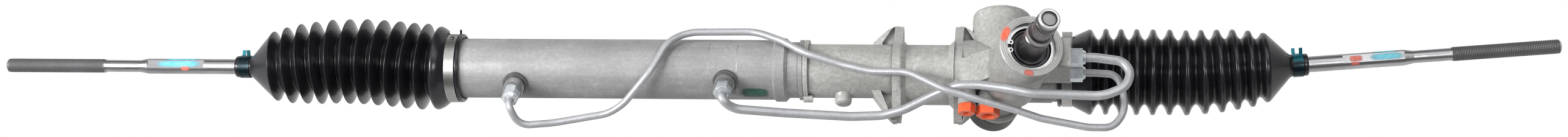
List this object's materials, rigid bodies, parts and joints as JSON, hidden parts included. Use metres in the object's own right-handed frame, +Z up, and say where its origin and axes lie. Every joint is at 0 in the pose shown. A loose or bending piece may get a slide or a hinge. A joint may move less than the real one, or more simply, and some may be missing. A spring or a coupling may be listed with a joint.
{
  "type": "hydraulic power steering rack",
  "caption": "Hydraulic rack-and-pinion steering gear with a cylinder tube, valve tower, bellows boots, transfer pipes and threaded inner tie rods.",
  "frame": {"origin": "on the rack's axis, midway between the two clamp flanges", "axes": "+X along the rack towards the short end, +Y to the yoke side, +Z up the input shaft's side"},
  "size_m": [1.4152, 0.1286, 0.2196],
  "materials": {
    "tube_alloy": "fine matt extrusion",
    "cast_alloy": "die-cast, lightly bead-blasted",
    "bush_alloy": "turned",
    "seal_rubber": "moulded nitrile",
    "bright_steel": "ground",
    "black_plastic": "moulded",
    "dark_steel": "phosphated",
    "plated_steel": "zinc plated",
    "pipe_steel": "zinc-aluminium coated tube",
    "orange_plastic": "soft moulded plugs",
    "boot_rubber": "moulded bellows, slight sheen",
    "clamp_steel": "stainless band",
    "shaft_steel": "turned and splined",
    "seat_plastic": "acetal",
    "rod_steel": "forged, grey coated",
    "teal_wire": "coated spring wire"
  },
  "bodies": {
    "housing": {"rack_tube": "tube_alloy", "gear_housing": "cast_alloy", "left_seal_carrier": "bush_alloy", "inner_seal_carrier": "bush_alloy", "left_rod_seal": "seal_rubber", "inner_rod_seal": "seal_rubber", "end_retainer": "bright_steel", "rack_bush": "black_plastic", "yoke": "cast_alloy", "yoke_spring": "bright_steel", "yoke_plug": "bright_steel", "upper_bearing": "bright_steel", "lower_bearing": "bright_steel", "pinion_cap": "dark_steel", "valve_seal": "seal_rubber", "snap_ring": "bright_steel", "pipe_unions": "plated_steel", "pipe_nuts": "plated_steel", "pipe_left": "pipe_steel", "pipe_right": "pipe_steel", "port_plugs": "orange_plastic", "left_boot": "boot_rubber", "right_boot": "boot_rubber", "left_boot_clamp": "clamp_steel", "right_boot_clamp": "clamp_steel"},
    "rack": {"rack_bar": "bright_steel", "piston": "bright_steel", "piston_ring": "black_plastic", "left_rod_socket": "dark_steel", "right_rod_socket": "dark_steel", "left_lock_washer": "plated_steel", "right_lock_washer": "plated_steel"},
    "pinion": {"pinion": "bright_steel", "valve_sleeve": "bright_steel", "sleeve_rings": "black_plastic"},
    "input": {"input_shaft": "shaft_steel", "torsion_bar": "shaft_steel"},
    "left_seat": {"left_ball_seat": "seat_plastic"},
    "left_rod": {"left_tie_rod": "rod_steel", "left_boot_clip": "teal_wire"},
    "right_seat": {"right_ball_seat": "seat_plastic"},
    "right_rod": {"right_tie_rod": "rod_steel", "right_boot_clip": "teal_wire"}
  },
  "joints": [
    {"name": "rack_slide", "type": "slide", "parent": "housing", "child": "rack", "axis": [1, 0, 0], "range_m": [-0.077, 0.072], "deforming": ["left_boot", "right_boot"]},
    {"name": "pinion_spin", "type": "hinge", "parent": "housing", "child": "pinion", "pos_m": [0.068, -0.0155, 0], "axis": [0.2588, 0, 0.9659], "range_deg": [-600, 600]},
    {"name": "valve_twist", "type": "hinge", "parent": "pinion", "child": "input", "pos_m": [0.08871, -0.0155, 0.07727], "axis": [0.2588, 0, 0.9659], "range_deg": [-4.5, 4.5], "stiffness_Nm_per_rad": 70},
    {"name": "left_rod_lift", "type": "hinge", "parent": "rack", "child": "left_seat", "pos_m": [-0.5411, 0, 0], "axis": [0, 1, 0], "range_deg": [-22, 22], "deforming": ["left_boot"]},
    {"name": "left_rod_sweep", "type": "hinge", "parent": "left_seat", "child": "left_rod", "pos_m": [-0.5411, 0, 0], "axis": [0, 0, 1], "range_deg": [-22, 22], "deforming": ["left_boot"]},
    {"name": "right_rod_lift", "type": "hinge", "parent": "rack", "child": "right_seat", "pos_m": [0.2369, 0, 0], "axis": [0, 1, 0], "range_deg": [-22, 22], "deforming": ["right_boot"]},
    {"name": "right_rod_sweep", "type": "hinge", "parent": "right_seat", "child": "right_rod", "pos_m": [0.2369, 0, 0], "axis": [0, 0, 1], "range_deg": [-26.85, 17.15], "deforming": ["right_boot"]}
  ],
  "couplings": [
    {"joint": "pinion_spin", "follows": "rack_slide", "rad_per_m": -134.62}
  ]
}
